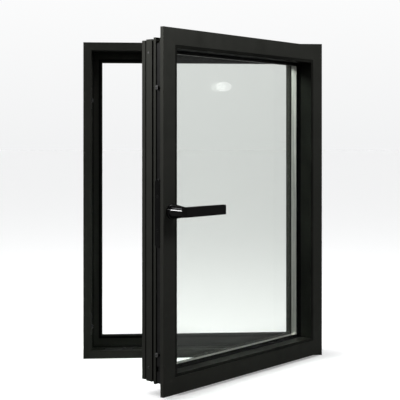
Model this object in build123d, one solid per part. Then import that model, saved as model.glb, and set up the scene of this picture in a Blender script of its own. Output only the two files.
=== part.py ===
from build123d import *
import math
import os

# Inward-opening, side-hung aluminium casement window with a thermal break.
# Millimetres. X runs along the window from the lock side to the hinge side, Y from the
# room to the outdoors, Z up. The origin is the centre of the frame's underside.
# The window is modelled closed about the centre of its room-side face, then the sash is
# swung open on its hinge axis and everything is moved to the origin on export.

# ---------------------------------------------------------------- driving dimensions
FRAME_WIDTH = 572.0
FRAME_HEIGHT = 750.0
OPEN_ANGLE = 45.0            # how far the sash stands open in the exported position

FRAME_LEG = 19.0             # width of the frame's room-side face
FRAME_STOP = 43.5            # width of the frame's outdoor face, which is the sash's stop
FRAME_INNER_DEPTH = 50.0     # depth of the room-side shell
FRAME_BREAK = 17.5           # depth of the thermal break
FRAME_OUTER_DEPTH = 10.5     # depth of the outdoor shell
CHANNEL_FROM = 7.0           # hardware channel in the frame's floor, from the room face
CHANNEL_WIDTH = 18.0
CHANNEL_DEPTH = 2.0

SASH_REVEAL = 7.0            # frame left showing round the sash
SASH_PROUD = 15.0            # sash face in front of the frame's face
FLANGE_OVERHANG = 18.0       # from the sash's edge to its hardware face
FLANGE_THICKNESS = 9.0
SASH_BODY = 16.5             # from the hardware face to the glazing rebate
BEAD_WIDTH = 6.5             # from the glazing rebate to the free glass
SASH_INNER_DEPTH = 44.0
SASH_BREAK = 7.0
SASH_OUTER_DEPTH = 29.5

WALL = 2.0                   # wall of every aluminium profile
EDGE_ROUND = 0.6             # round on the profiles' visible edges
STRIP_THICKNESS = 2.0        # thermal-break strips
MITRE_WEDGE = 200.0          # half the depth of the wedge that cuts the mitres

STEP_SMALL = 2.5             # first step of the sash's outdoor shell, past the hardware face
STEP_LARGE = 4.0             # second step
STEP_GROOVE = 7.0            # floor of the groove between the steps
STEP_GROOVE_FROM = 16.0      # groove's place behind the thermal break
STEP_GROOVE_WIDTH = 4.0
RECESS = 6.0                 # thermal-break recess, below the hardware face

CLEAT_GAP = 0.1              # round a corner cleat in its chamber
FRAME_INNER_ARM = 50.0       # arms of the corner cleats
FRAME_OUTER_ARM = 75.0
SASH_ARM = 55.0
CORNER_PIN_RADIUS = 2.5
CORNER_PIN_IN = 48.0         # corner pins from the sash's corner
CORNER_PIN_OFFSET = 2.0      # behind the middle of the outdoor chamber

DRAIN_LENGTH = 28.0          # drain slots in the sill's outdoor face
DRAIN_HEIGHT = 6.0
DRAIN_UP = 8.0               # slot's middle above the frame's underside
HOOD_OVERLAP = 4.0           # cap's hood past the slot's ends
HOOD_DEPTH = 4.0
HOOD_WALL = 1.5
HOOD_BELOW = 5.0             # hood's edges from the slot's middle
HOOD_ABOVE = 6.0

GROOVE_MOUTH = 12.0          # standard hardware groove in the sash
GROOVE_WIDTH = 16.0
GROOVE_CENTRE = 32.0         # from the sash's face
GROOVE_LIP = 2.0
GROOVE_DEPTH = 5.0

PANE = 6.0
PANE_GAP = 16.0
BEAD_FRONT = 0.8             # bead's face behind the sash's face
BEAD_DEPTH = 30.2
BEAD_WALL = 1.4
GASKET_INNER = 5.0
GASKET_OUTER = 4.0
BLOCK_HEIGHT = 2.5           # setting block under the glass edge
BLOCK_LENGTH = 80.0
BLOCK_PLACE = 0.3            # setting blocks from the middle, as a share of the bar's length
SEALANT = 3.5
SPACER = 6.0
SPACER_WALL = 0.8
SPACER_ARM = 30.0            # arms of the spacer's corner keys
GASKET_SEAT = 0.5            # gasket's root inside the bead's edges
GASKET_LIP = 2.5             # inner gasket's lip past the bead
LIP_TIP = 0.8                # thickness of a gasket's lip at its tip

SEAL_GAP = 0.3               # rest gap between a seal and what it closes on
SLIDE_GAP = 0.3              # gap round a sliding piece
FIT_GAP = 0.2                # gap round a fixed piece in its place
SEAL_ROUND = 0.8
CARRIER_BEHIND = 2.0         # centre-seal carrier behind the sash's room-side shell
CARRIER_WIDTH = 4.0
CARRIER_HEIGHT = 2.6
STOP_SEAL_IN = 3.0           # stop seal from the outdoor shell's inner edge
STOP_SEAL_WIDTH = 5.0
OVERLAP_TAPER = 1.2          # overlap seal's tip narrower on each side
OVERLAP_ROOT = 2.0           # its straight root

HINGE_IN = 6.0               # hinge axis from the sash's edge
HINGE_BACK = 7.0             # hinge axis behind the sash's face
PIN_RADIUS = 3.0
PIN_RUNNING = 0.05
KNUCKLE_RADIUS = 4.2
KNUCKLE_HEIGHT = 14.0
KNUCKLE_GAP = 0.5            # between the arm and the knuckle
ARM_THICKNESS = 3.0
ARM_BACK = 28.0              # arm's back edge behind the frame's face
ARM_REACH = 22.0             # arm's plate along the frame's floor
ARM_NECK = 4.0               # half the width of the arm's neck, and its eye's radius
ARM_SCREWS = (9.0, 21.0)     # behind the frame's face
ARM_SCREW_LENGTH = 7.0
LEAF_THICKNESS = 2.5
LEAF_HEIGHT = 52.0
LEAF_SCREWS = (14.0, 40.0)   # from the leaf's end at the corner
CLAMP_THICKNESS = 3.0
CLAMP_END = 1.5              # clamp plate's end from the rail's groove lip
GROOVE_PIECE = 7.8           # half the width of a piece that fits the groove
SCREW_RADIUS = 2.0
HEAD_RADIUS = 3.6
HEAD_HEIGHT = 1.5

HANDLE_BACKSET = 5.5         # handle axis behind the hardware face
HANDLE_HEIGHT = 0.0          # handle axis above the window's middle
SPINDLE = 7.0                # square
HANDLE_BASE_RADIUS = 15.5
HANDLE_BASE_THICKNESS = 5.0
HANDLE_SCREWS = 10.0         # handle screws above and below the axis
HANDLE_SCREW_REACH = 8.0     # into the stile
SMALL_SCREW_RADIUS = 1.6
SMALL_HEAD_RADIUS = 3.0
LEVER_LENGTH = 117.0         # handle axis to the lever's tip
LEVER_HEIGHT = 20.5
LEVER_TIP_HEIGHT = 20.0
LEVER_THICKNESS = 10.0
LEVER_STANDOFF = 46.0        # lever's front above the sash's face
LEVER_ROUND = 1.2
LEVER_HEEL = 5.0             # chamfer where the lever's back end meets its front
SPINDLE_FIT = 0.05
SPINDLE_FRONT = 30.0         # spindle's front end above the sash's face
COLLAR_RADIUS = 5.5          # pinion's bearing collar

GEAR_MODULE = 0.9
PINION_TEETH = 14
PINION_THICKNESS = 10.0
BACKLASH = 0.2
PLAIN_ARC = (130, 310)       # degrees of the pinion left without teeth
CARRIAGE = 24.0              # half the height of the rack's carriage
CARRIAGE_END = 4.0           # thickness of its ends
GEAR_FIT = 0.4               # gearbox in the groove, each side
HOUSING = (-42.0, 32.0)      # gearbox ends from the handle's axis
CAVITY = (-35.5, 25.5)
HOUSING_BEHIND = 9.9         # gearbox's back behind the handle's axis
HOUSING_NOSE = 9.0           # half the height of the nose that fills the groove's mouth
HOUSING_WALL = 0.8
PLATE = (-74.0, 64.0)        # faceplate ends from the handle's axis
PLATE_SCREWS = (-39.0, 29.0)
PLATE_THICKNESS = 1.6
PLATE_WIDTH = 15.0
PLATE_SCREW_LENGTH = 12.0
PLATE_HEAD_RADIUS = 3.4
PLATE_HEAD_HEIGHT = 0.8
ROD_THICKNESS = 2.2
ROD_WIDTH = 14.0
ROD_PAST_TOP_CAM = 90.0      # rods' ends past the cams
ROD_PAST_LOW_CAM = 24.0
ROD_PAST_BOTTOM_CAM = 30.0
SLOT_ROOM = 3.0              # half the slot in the rod round a faceplate screw
CORNER_LEG = 34.0            # corner drive's legs from the sash's hardware faces
ROD_INTO_CORNER = 8.0
CAM_RADIUS = 4.5
CAM_LENGTH = 4.3
CAM_SHANK = 3.2
CAM_STAND = 4.8              # cam's front in front of the hardware face
TOP_CAM_DOWN = 127.0         # side cams from the frame's top and bottom
LOW_CAM_UP = 85.0
BOTTOM_CAM_IN = 86.0         # bottom cam from the frame's lock side
STRIKER_LENGTH = 9.0
STRIKER_WIDTH = 5.0
STRIKER_HEIGHT = 4.0
STRIKER_CLEAR = 1.0          # striker's end from the cam
STRIKER_CHAMFER = 0.8
KEEP_LENGTH = 50.0
KEEP_SHIFT = 5.0             # keep's middle below its cam
KEEP_SCREW_IN = 5.0          # keep's screws from its ends
KEEP_SCREW_LENGTH = 5.0
KEEP_HEAD_HEIGHT = 1.2
SILL_KEEP = (-35.0, 30.0)    # sill keep's ends from the bottom cam
SILL_KEEP_SCREWS = (-30.0, 24.0)

FIXING_RADIUS = 3.75         # holes for the wall screws through the jambs
FIXING_DEPTH = 38.0          # from the room face
FIXING_SPACING = 450.0

# ---------------------------------------------------------------- derived sizes
FRAME_DEPTH = FRAME_INNER_DEPTH + FRAME_BREAK + FRAME_OUTER_DEPTH
SASH_WIDTH = FRAME_WIDTH - 2 * SASH_REVEAL
SASH_HEIGHT = FRAME_HEIGHT - 2 * SASH_REVEAL
SASH_DEPTH = SASH_INNER_DEPTH + SASH_BREAK + SASH_OUTER_DEPTH
SASH_BACK = SASH_DEPTH - SASH_PROUD
SASH_FACE = FLANGE_OVERHANG + SASH_BODY  # sash profile, up to the glazing rebate
SIGHT_LINE = SASH_FACE + BEAD_WIDTH      # from the sash's edge to the free glass
GLASS_FRONT = BEAD_FRONT + BEAD_DEPTH + GASKET_INNER
GLASS_BACK = GLASS_FRONT + 2 * PANE + PANE_GAP
GLASS_EDGE = SASH_FACE + BLOCK_HEIGHT
SPACER_EDGE = GLASS_EDGE + SEALANT
SIGHT_SPACER = SPACER_EDGE + SPACER
HINGE_X = SASH_WIDTH / 2 - HINGE_IN
HINGE_Y = HINGE_BACK - SASH_PROUD
PITCH_RADIUS = GEAR_MODULE * PINION_TEETH / 2
TRAVEL = PITCH_RADIUS * math.pi / 2
LOCK_X = -SASH_WIDTH / 2                 # the sash's lock-side edge
FLOOR_X = FRAME_WIDTH / 2 - FRAME_LEG    # the frame's floor at a jamb
FLOOR_Z = FRAME_HEIGHT / 2 - FRAME_LEG
GROOVE_Y = GROOVE_CENTRE - SASH_PROUD
BREAK_TO = SASH_INNER_DEPTH + SASH_BREAK
STEP_1 = FLANGE_OVERHANG + STEP_SMALL    # steps of the sash's outdoor shell
STEP_2 = FLANGE_OVERHANG + STEP_LARGE
STEP_FLOOR = FLANGE_OVERHANG + STEP_GROOVE
GROOVE_2 = (BREAK_TO + STEP_GROOVE_FROM, BREAK_TO + STEP_GROOVE_FROM + STEP_GROOVE_WIDTH)
CAM_HEIGHTS = (FRAME_HEIGHT / 2 - TOP_CAM_DOWN, LOW_CAM_UP - FRAME_HEIGHT / 2)
BOTTOM_CAM_X = BOTTOM_CAM_IN - FRAME_WIDTH / 2
CORNERS = ((-1, -1), (-1, 1), (1, -1), (1, 1))
SIDES = ("bottom", "top", "lock", "hinge")

# Every section is drawn with x inward from the ring's outer edge and y from its front.
SECTION = Plane(origin=(0, 0, 0), x_dir=(0, 0, 1), z_dir=(-1, 0, 0))


# ---------------------------------------------------------------- helpers
def block(x0, x1, y0, y1, z0, z1):
    """A box between two values on each axis, given in either order."""
    centre = Pos((x0 + x1) / 2, (y0 + y1) / 2, (z0 + z1) / 2)
    return centre * Box(abs(x1 - x0), abs(y1 - y0), abs(z1 - z0))


def rod(x, y, z, axis, radius, length):
    """A cylinder from a point, along +X, +Y or +Z; a negative length runs the other way."""
    turns = {"x": Rot(0, 90, 0), "y": Rot(-90, 0, 0), "z": Rot(0, 0, 0)}
    reach = {"x": (length / 2, 0, 0), "y": (0, length / 2, 0), "z": (0, 0, length / 2)}
    return Pos(x, y, z) * Pos(*reach[axis]) * turns[axis] * Cylinder(radius, abs(length))


def group(pieces):
    """Separate solids kept in one node."""
    return Compound([solid for piece in pieces for solid in piece.solids()])


def rectangle(x0, x1, y0, y1):
    return [(x0, y0), (x1, y0), (x1, y1), (x0, y1)]


def profile(outline, chambers=(), rounded=(), radius=EDGE_ROUND):
    """A profile's section: an outline with rounds at the named corners, and its chambers."""
    face = make_face(Polyline(*outline, close=True))
    corners = [
        vertex for vertex in face.vertices()
        if any(math.dist((vertex.X, vertex.Y), point) < 0.01 for point in rounded)
    ]
    if corners:
        face = fillet(corners, radius)
    for chamber in chambers:
        face -= make_face(Polyline(*chamber, close=True))
    return SECTION * face


def mitred_bar(section, length):
    """A bar along X with both ends cut at 45 degrees from its outer edge."""
    half = length / 2
    reach = 2 * FRAME_STOP
    outline = [(-half, 0), (half, 0), (half - reach, reach), (reach - half, reach)]
    mitre = extrude(Plane.XZ * make_face(Polyline(*outline, close=True)), amount=MITRE_WEDGE, both=True)
    return extrude(section, amount=half, both=True) & mitre


def ring(section, width, height, front=0.0):
    """The four mitred bars of a rectangle whose sections share one outline."""
    flat = mitred_bar(section, width)
    upright = mitred_bar(section, height)
    return {
        "bottom": Pos(0, front, -height / 2) * flat,
        "top": Pos(0, front, height / 2) * Rot(0, 180, 0) * flat,
        "lock": Pos(-width / 2, front, 0) * Rot(0, 90, 0) * upright,
        "hinge": Pos(width / 2, front, 0) * Rot(0, -90, 0) * upright,
    }


def frame_ring(section):
    return ring(section, FRAME_WIDTH, FRAME_HEIGHT)


def sash_ring(section):
    return ring(section, SASH_WIDTH, SASH_HEIGHT, -SASH_PROUD)


def corner_cleats(width, height, front, inward, depth, arm):
    """L-shaped cleats that fill the chamber between two inward values and two depths."""
    near, far = inward[0] + CLEAT_GAP, inward[1] - CLEAT_GAP
    y0, y1 = front + depth[0] + CLEAT_GAP, front + depth[1] - CLEAT_GAP
    cleats = []
    for sx, sz in CORNERS:
        x_near, x_far, x_end = (sx * (width / 2 - d) for d in (near, far, near + arm))
        z_near, z_far, z_end = (sz * (height / 2 - d) for d in (near, far, near + arm))
        flat = block(x_near, x_end, y0, y1, z_near, z_far)
        upright = block(x_near, x_far, y0, y1, z_near, z_end)
        cleats.append(flat + upright)
    return cleats


def cut(bars, tool):
    """Takes one tool away from every bar that it meets."""
    return {side: bar - tool for side, bar in bars.items()}


# ---------------------------------------------------------------- frame profiles
CHANNEL_TO = CHANNEL_FROM + CHANNEL_WIDTH
WEB = CHANNEL_TO + 1
frame_inner_section = profile(
    [(0, 0), (FRAME_LEG, 0), (FRAME_LEG, CHANNEL_FROM), (FRAME_LEG - CHANNEL_DEPTH, CHANNEL_FROM),
     (FRAME_LEG - CHANNEL_DEPTH, CHANNEL_TO), (FRAME_LEG, CHANNEL_TO),
     (FRAME_LEG, FRAME_INNER_DEPTH), (0, FRAME_INNER_DEPTH)],
    chambers=[
        rectangle(WALL, FRAME_LEG - CHANNEL_DEPTH - WALL, WALL, WEB),
        rectangle(WALL, FRAME_LEG - WALL, WEB + WALL, FRAME_INNER_DEPTH - WALL),
    ],
    rounded=[(0, 0), (FRAME_LEG, 0)],
)
frame_inner = frame_ring(frame_inner_section)

OUTER_FROM = FRAME_INNER_DEPTH + FRAME_BREAK
frame_outer_section = profile(
    rectangle(0, FRAME_STOP, OUTER_FROM, FRAME_DEPTH),
    chambers=[rectangle(WALL, FRAME_STOP - WALL, OUTER_FROM + WALL, FRAME_DEPTH - WALL)],
    rounded=[(FRAME_STOP, OUTER_FROM), (FRAME_STOP, FRAME_DEPTH), (0, FRAME_DEPTH)],
)
frame_outer = frame_ring(frame_outer_section)

# Two polyamide strips hold the shells together along each profile.
frame_strips = []
for strip_at in (WALL, FRAME_LEG - WALL - STRIP_THICKNESS):
    strip = rectangle(strip_at, strip_at + STRIP_THICKNESS, FRAME_INNER_DEPTH, OUTER_FROM)
    frame_strips += frame_ring(profile(strip)).values()

# The centre seal stands on a carrier under the sash's thermal-break recess. As the sash swings
# its heels dip towards the lock jamb, so the seal is drawn at the height it is pressed to.
HEELS = ((STEP_1, GROOVE_2[0]), (STEP_2, SASH_DEPTH))
HEEL_SWING = max(math.hypot(HINGE_X - LOCK_X - step, depth - HINGE_BACK) for step, depth in HEELS)
CARRIER_FROM = SASH_INNER_DEPTH - SASH_PROUD + CARRIER_BEHIND
CARRIER_TO = CARRIER_FROM + CARRIER_WIDTH
CARRIER_TOP = FRAME_LEG + CARRIER_HEIGHT
SEAL_TOP = FRAME_WIDTH / 2 + HINGE_X - HEEL_SWING - 2 * SEAL_GAP
carrier_section = profile(rectangle(FRAME_LEG, CARRIER_TOP, CARRIER_FROM, CARRIER_TO))
centre_carriers = frame_ring(carrier_section)
centre_seal_section = profile(
    rectangle(CARRIER_TOP, SEAL_TOP, CARRIER_FROM, CARRIER_TO),
    rounded=[(SEAL_TOP, CARRIER_FROM), (SEAL_TOP, CARRIER_TO)],
    radius=SEAL_ROUND,
)
centre_seals = frame_ring(centre_seal_section)

# The stop seal lies on the outdoor shell's room-side face.
STOP_SEAL_TO = FRAME_STOP - STOP_SEAL_IN
STOP_SEAL_FROM = STOP_SEAL_TO - STOP_SEAL_WIDTH
STOP_SEAL_TIP = SASH_BACK + SEAL_GAP
stop_seal_section = profile(
    rectangle(STOP_SEAL_FROM, STOP_SEAL_TO, STOP_SEAL_TIP, OUTER_FROM),
    rounded=[(STOP_SEAL_FROM, STOP_SEAL_TIP), (STOP_SEAL_TO, STOP_SEAL_TIP)],
)
stop_seals = frame_ring(stop_seal_section)

frame_cleats = corner_cleats(
    FRAME_WIDTH, FRAME_HEIGHT, 0, (WALL, FRAME_LEG - CHANNEL_DEPTH - WALL), (WALL, WEB),
    FRAME_INNER_ARM)
frame_cleats += corner_cleats(
    FRAME_WIDTH, FRAME_HEIGHT, 0, (WALL, FRAME_STOP - WALL),
    (OUTER_FROM + WALL, FRAME_DEPTH - WALL), FRAME_OUTER_ARM)

# Wall screws go through the jambs' room-side shells, behind the hardware channel.
for sx, side in ((-1, "lock"), (1, "hinge")):
    for sz in (-1, 1):
        hole = rod(sx * FRAME_WIDTH / 2, FIXING_DEPTH, sz * FIXING_SPACING / 2, "x",
                   FIXING_RADIUS, -sx * (FRAME_LEG + 1))
        frame_inner[side] -= hole

# Two drain slots in the sill's outdoor face, each under a clip-in cap that is open below.
drain_z = DRAIN_UP - FRAME_HEIGHT / 2
half_length = DRAIN_LENGTH / 2
half_height = DRAIN_HEIGHT / 2
inside = FRAME_DEPTH - WALL
drain_caps = []
for drain_x in (-FRAME_WIDTH / 4, FRAME_WIDTH / 4):
    slot = block(drain_x - half_length, drain_x + half_length, inside - 1, FRAME_DEPTH + 1,
                 drain_z - half_height, drain_z + half_height)
    frame_outer["bottom"] -= slot
    plug = block(drain_x - half_length + FIT_GAP, drain_x + half_length - FIT_GAP,
                 inside, FRAME_DEPTH,
                 drain_z - half_height + FIT_GAP, drain_z + half_height - FIT_GAP)
    half_hood = half_length + HOOD_OVERLAP
    hood = block(drain_x - half_hood, drain_x + half_hood, FRAME_DEPTH, FRAME_DEPTH + HOOD_DEPTH,
                 drain_z - HOOD_BELOW, drain_z + HOOD_ABOVE)
    hood = chamfer((hood.edges() | Axis.X).group_by(Axis.Y)[-1], HOOD_WALL)
    half_mouth = half_length - FIT_GAP - HOOD_WALL
    mouth = block(drain_x - half_mouth, drain_x + half_mouth,
                  inside, FRAME_DEPTH + HOOD_DEPTH - HOOD_WALL,
                  drain_z - HOOD_BELOW - 1, drain_z + half_height - HOOD_WALL)
    drain_caps.append(plug + hood - mouth)

# ---------------------------------------------------------------- sash profiles
MOUTH = (GROOVE_CENTRE - GROOVE_MOUTH / 2, GROOVE_CENTRE + GROOVE_MOUTH / 2)
GROOVE = (GROOVE_CENTRE - GROOVE_WIDTH / 2, GROOVE_CENTRE + GROOVE_WIDTH / 2)
LIP_BACK = FLANGE_OVERHANG + GROOVE_LIP
GROOVE_FLOOR = LIP_BACK + GROOVE_DEPTH
sash_inner_section = profile(
    [(0, 0), (SASH_FACE, 0), (SASH_FACE, SASH_INNER_DEPTH), (FLANGE_OVERHANG, SASH_INNER_DEPTH),
     (FLANGE_OVERHANG, MOUTH[1]), (LIP_BACK, MOUTH[1]), (LIP_BACK, GROOVE[1]),
     (GROOVE_FLOOR, GROOVE[1]), (GROOVE_FLOOR, GROOVE[0]), (LIP_BACK, GROOVE[0]),
     (LIP_BACK, MOUTH[0]), (FLANGE_OVERHANG, MOUTH[0]), (FLANGE_OVERHANG, FLANGE_THICKNESS),
     (0, FLANGE_THICKNESS)],
    chambers=[
        rectangle(WALL, FLANGE_OVERHANG, WALL, FLANGE_THICKNESS - WALL),
        rectangle(FLANGE_OVERHANG + WALL, SASH_FACE - WALL, WALL, GROOVE[0] - WALL),
        rectangle(GROOVE_FLOOR + WALL, SASH_FACE - WALL, GROOVE[0], SASH_INNER_DEPTH - WALL),
    ],
    rounded=[(0, 0), (0, FLANGE_THICKNESS)],
)
sash_inner = sash_ring(sash_inner_section)

# The outdoor shell steps back twice from the hardware face, with a narrow groove between.
LIP_FRONT = GLASS_BACK + GASKET_OUTER
sash_outer_section = profile(
    [(STEP_1, BREAK_TO), (SASH_FACE, BREAK_TO), (SASH_FACE, LIP_FRONT), (SIGHT_LINE, LIP_FRONT),
     (SIGHT_LINE, SASH_DEPTH), (STEP_2, SASH_DEPTH), (STEP_2, GROOVE_2[1]),
     (STEP_FLOOR, GROOVE_2[1]), (STEP_FLOOR, GROOVE_2[0]), (STEP_1, GROOVE_2[0])],
    chambers=[
        rectangle(STEP_FLOOR + WALL, SASH_FACE - WALL, BREAK_TO + WALL, GROOVE_2[0]),
        [(STEP_FLOOR + WALL, LIP_FRONT + WALL), (SIGHT_LINE - WALL, LIP_FRONT + WALL),
         (SIGHT_LINE - WALL, SASH_DEPTH - WALL), (STEP_2 + WALL, SASH_DEPTH - WALL),
         (STEP_2 + WALL, GROOVE_2[1] + WALL), (STEP_FLOOR + WALL, GROOVE_2[1] + WALL)],
    ],
    rounded=[(SIGHT_LINE, LIP_FRONT), (SIGHT_LINE, SASH_DEPTH), (STEP_2, SASH_DEPTH)],
)
sash_outer = sash_ring(sash_outer_section)

sash_strips = []
for strip_at in (FLANGE_OVERHANG + RECESS, SASH_FACE - WALL - STRIP_THICKNESS):
    strip = rectangle(strip_at, strip_at + STRIP_THICKNESS, SASH_INNER_DEPTH, BREAK_TO)
    sash_strips += sash_ring(profile(strip)).values()

ROOM_CHAMBER = (FLANGE_OVERHANG + WALL, SASH_FACE - WALL)
sash_cleats = corner_cleats(
    SASH_WIDTH, SASH_HEIGHT, -SASH_PROUD, ROOM_CHAMBER, (WALL, GROOVE[0] - WALL),
    SASH_ARM)
sash_cleats += corner_cleats(
    SASH_WIDTH, SASH_HEIGHT, -SASH_PROUD, (STEP_FLOOR + WALL, SASH_FACE - WALL),
    (BREAK_TO + WALL, GROOVE_2[0]), SASH_ARM)

# Corner pins go through the outdoor shell into its cleats, one in each end of each bar.
pin_reach = SASH_FACE - WALL - STEP_1 - 1
pin_y = (BREAK_TO + GROOVE_2[0]) / 2 - SASH_PROUD + CORNER_PIN_OFFSET
corner_pins = []
for sx, sz in CORNERS:
    x_edge = sx * (SASH_WIDTH / 2 - STEP_1)
    z_edge = sz * (SASH_HEIGHT / 2 - STEP_1)
    x_in = sx * (SASH_WIDTH / 2 - CORNER_PIN_IN)
    z_in = sz * (SASH_HEIGHT / 2 - CORNER_PIN_IN)
    corner_pins.append(rod(x_edge, pin_y, z_in, "x", CORNER_PIN_RADIUS, -sx * pin_reach))
    corner_pins.append(rod(x_in, pin_y, z_edge, "z", CORNER_PIN_RADIUS, -sz * pin_reach))
for pin in corner_pins:
    sash_outer = cut(sash_outer, pin)
    sash_cleats = [cleat - pin for cleat in sash_cleats]

# ---------------------------------------------------------------- glazing
BEAD_BACK = BEAD_FRONT + BEAD_DEPTH
bead_section = profile(
    rectangle(SASH_FACE, SIGHT_LINE, BEAD_FRONT, BEAD_BACK),
    chambers=[rectangle(SASH_FACE + BEAD_WALL, SIGHT_LINE - BEAD_WALL,
                        BEAD_FRONT + BEAD_WALL, BEAD_BACK - BEAD_WALL)],
    rounded=[(SIGHT_LINE, BEAD_FRONT), (SASH_FACE, BEAD_FRONT)],
)
beads = sash_ring(bead_section)
lip_edge = SIGHT_LINE + GASKET_LIP
inner_gaskets = sash_ring(profile([
    (SASH_FACE + GASKET_SEAT, BEAD_BACK),
    (SIGHT_LINE - GASKET_SEAT, BEAD_BACK),
    (SIGHT_LINE + GASKET_SEAT, BEAD_BACK + 1),
    (lip_edge, GLASS_FRONT - LIP_TIP),
    (lip_edge, GLASS_FRONT),
    (SASH_FACE + GASKET_SEAT, GLASS_FRONT),
]))
outer_edge = SIGHT_LINE + 3 * GASKET_SEAT
outer_gaskets = sash_ring(profile([
    (SASH_FACE + 3 * GASKET_SEAT, GLASS_BACK),
    (outer_edge, GLASS_BACK),
    (outer_edge, GLASS_BACK + LIP_TIP),
    (SIGHT_LINE - 2 * GASKET_SEAT, LIP_FRONT),
    (SASH_FACE + 3 * GASKET_SEAT, LIP_FRONT),
]))


def pane(front):
    """One sheet of glass with its front this far behind the sash's face."""
    half_x = SASH_WIDTH / 2 - GLASS_EDGE
    half_z = SASH_HEIGHT / 2 - GLASS_EDGE
    y = front - SASH_PROUD
    return block(-half_x, half_x, y, y + PANE, -half_z, half_z)


GAP_FROM = GLASS_FRONT + PANE
GAP_TO = GAP_FROM + PANE_GAP
inner_pane = pane(GLASS_FRONT)
outer_pane = pane(GAP_TO)
edge_sealant = sash_ring(profile(rectangle(GLASS_EDGE, SPACER_EDGE, GAP_FROM, GAP_TO)))
spacer_hollow = (SPACER_EDGE + SPACER_WALL, SIGHT_SPACER - SPACER_WALL)
spacers = sash_ring(profile(
    rectangle(SPACER_EDGE, SIGHT_SPACER, GAP_FROM, GAP_TO),
    chambers=[rectangle(*spacer_hollow, GAP_FROM + SPACER_WALL, GAP_TO - SPACER_WALL)]))
spacer_keys = corner_cleats(
    SASH_WIDTH, SASH_HEIGHT, -SASH_PROUD, spacer_hollow,
    (GAP_FROM + SPACER_WALL, GAP_TO - SPACER_WALL), SPACER_ARM)

# Two setting blocks on each side carry and centre the glass unit in its rebate.
setting_blocks = []
for along in (-BLOCK_PLACE, BLOCK_PLACE):
    y0 = GLASS_FRONT + 1 - SASH_PROUD
    y1 = GLASS_BACK - 1 - SASH_PROUD
    x_mid = along * SASH_WIDTH
    z_mid = along * SASH_HEIGHT
    for sign in (-1, 1):
        z_edge = sign * (SASH_HEIGHT / 2 - SASH_FACE)
        x_edge = sign * (SASH_WIDTH / 2 - SASH_FACE)
        setting_blocks.append(block(x_mid - BLOCK_LENGTH / 2, x_mid + BLOCK_LENGTH / 2, y0, y1,
                                    z_edge, z_edge - sign * BLOCK_HEIGHT))
        setting_blocks.append(block(x_edge, x_edge - sign * BLOCK_HEIGHT, y0, y1,
                                    z_mid - BLOCK_LENGTH / 2, z_mid + BLOCK_LENGTH / 2))

# The overlap seal closes the flange on the frame's room-side face.
OVERLAP_FROM = HINGE_IN
OVERLAP_TO = FRAME_LEG - SASH_REVEAL - 1
SEAL_TIP = SASH_PROUD - SEAL_GAP
overlap_seals = sash_ring(profile([
    (OVERLAP_FROM, FLANGE_THICKNESS),
    (OVERLAP_TO, FLANGE_THICKNESS),
    (OVERLAP_TO, FLANGE_THICKNESS + OVERLAP_ROOT),
    (OVERLAP_TO - OVERLAP_TAPER, SEAL_TIP),
    (OVERLAP_FROM + OVERLAP_TAPER, SEAL_TIP),
    (OVERLAP_FROM, FLANGE_THICKNESS + OVERLAP_ROOT),
]))

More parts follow.
